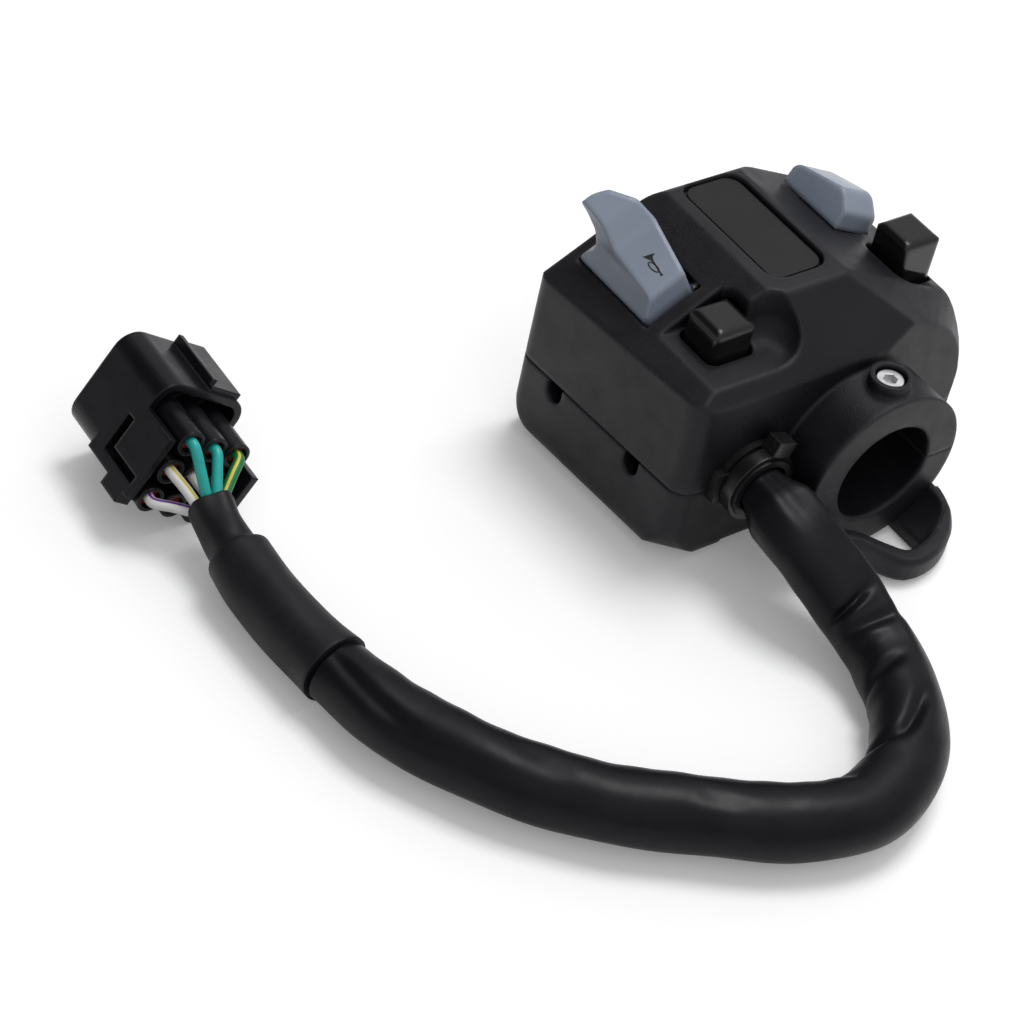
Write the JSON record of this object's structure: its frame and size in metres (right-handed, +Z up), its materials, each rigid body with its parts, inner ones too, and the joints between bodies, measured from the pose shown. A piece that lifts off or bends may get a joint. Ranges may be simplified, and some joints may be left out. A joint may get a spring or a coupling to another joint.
{
  "type": "handlebar switch cluster",
  "caption": "Motorbike handlebar switch cluster: clamshell case with a bar clamp, horn rocker, turn slider and push buttons, and a sleeved lead that ends in a sealed connector.",
  "frame": {"origin": "on the handlebar's axis, in the plane of the clamp collar's open face", "axes": "+X along the bar out of the collar, -Y towards the wide switch body, +Z up through the control face"},
  "size_m": [0.1511, 0.1606, 0.0576],
  "materials": {
    "case_black": "fine textured matt",
    "panel_grey": "satin",
    "button_grey": "satin",
    "button_black": "semi-gloss",
    "screw_steel": "zinc plated",
    "spring_steel": "drawn wire",
    "contact_brass": "plain",
    "switch_board": "matt",
    "sleeve_black": "soft satin",
    "shrink_black": "satin",
    "lead_black": "matt",
    "wire_teal": "satin",
    "wire_green": "satin",
    "wire_white": "satin",
    "connector_black": "moulded matt",
    "pin_tin": "tinned",
    "seal_red": "matt",
    "tie_black": "satin"
  },
  "bodies": {
    "base": {"upper_case": "case_black", "lower_case": "case_black", "centre_panel": "panel_grey", "locking_screw": "screw_steel", "case_screws": "screw_steel", "horn_pin": "screw_steel", "horn_spring": "spring_steel", "horn_base": "switch_board", "left_button_spring": "spring_steel", "left_switch_plate": "switch_board", "left_terminals": "contact_brass", "right_button_spring": "spring_steel", "right_switch_plate": "switch_board", "right_terminals": "contact_brass", "inner_leads": "lead_black", "cable_guide": "case_black", "lead_grommet": "lead_black", "cable_tie": "tie_black", "cable_sleeve": "sleeve_black", "heat_shrink": "shrink_black", "wires_teal": "wire_teal", "wire_green": "wire_green", "wires_white": "wire_white", "connector_housing": "connector_black", "connector_pins": "pin_tin", "wire_seals": "seal_red"},
    "horn": {"horn_button": "button_grey", "horn_contact": "contact_brass"},
    "left_push": {"left_button": "button_black", "left_button_contact": "contact_brass"},
    "right_push": {"right_button": "button_black", "right_button_contact": "contact_brass"},
    "turn": {"turn_slider": "button_grey", "turn_contact": "contact_brass", "turn_detent_spring": "spring_steel", "turn_detent_ball": "screw_steel"}
  },
  "joints": [
    {"name": "horn_rock", "type": "hinge", "parent": "base", "child": "horn", "pos_m": [-0.037, -0.0309, 0.02239], "axis": [0, -0.8666, -0.499], "range_deg": [0, 6], "stiffness_Nm_per_rad": 0.3, "springref_deg": -6.88, "deforming": ["horn_spring"]},
    {"name": "left_push", "type": "slide", "parent": "base", "child": "left_push", "axis": [0, 0, -1], "range_m": [0, 0.002], "stiffness_N_per_m": 800, "springref_m": -0.003, "deforming": ["left_button_spring"]},
    {"name": "right_push", "type": "slide", "parent": "base", "child": "right_push", "axis": [0, 0, -1], "range_m": [0, 0.002], "stiffness_N_per_m": 800, "springref_m": -0.003, "deforming": ["right_button_spring"]},
    {"name": "turn_slide", "type": "slide", "parent": "base", "child": "turn", "axis": [1, 0, 0], "range_m": [-0.0026, 0.0026]}
  ]
}
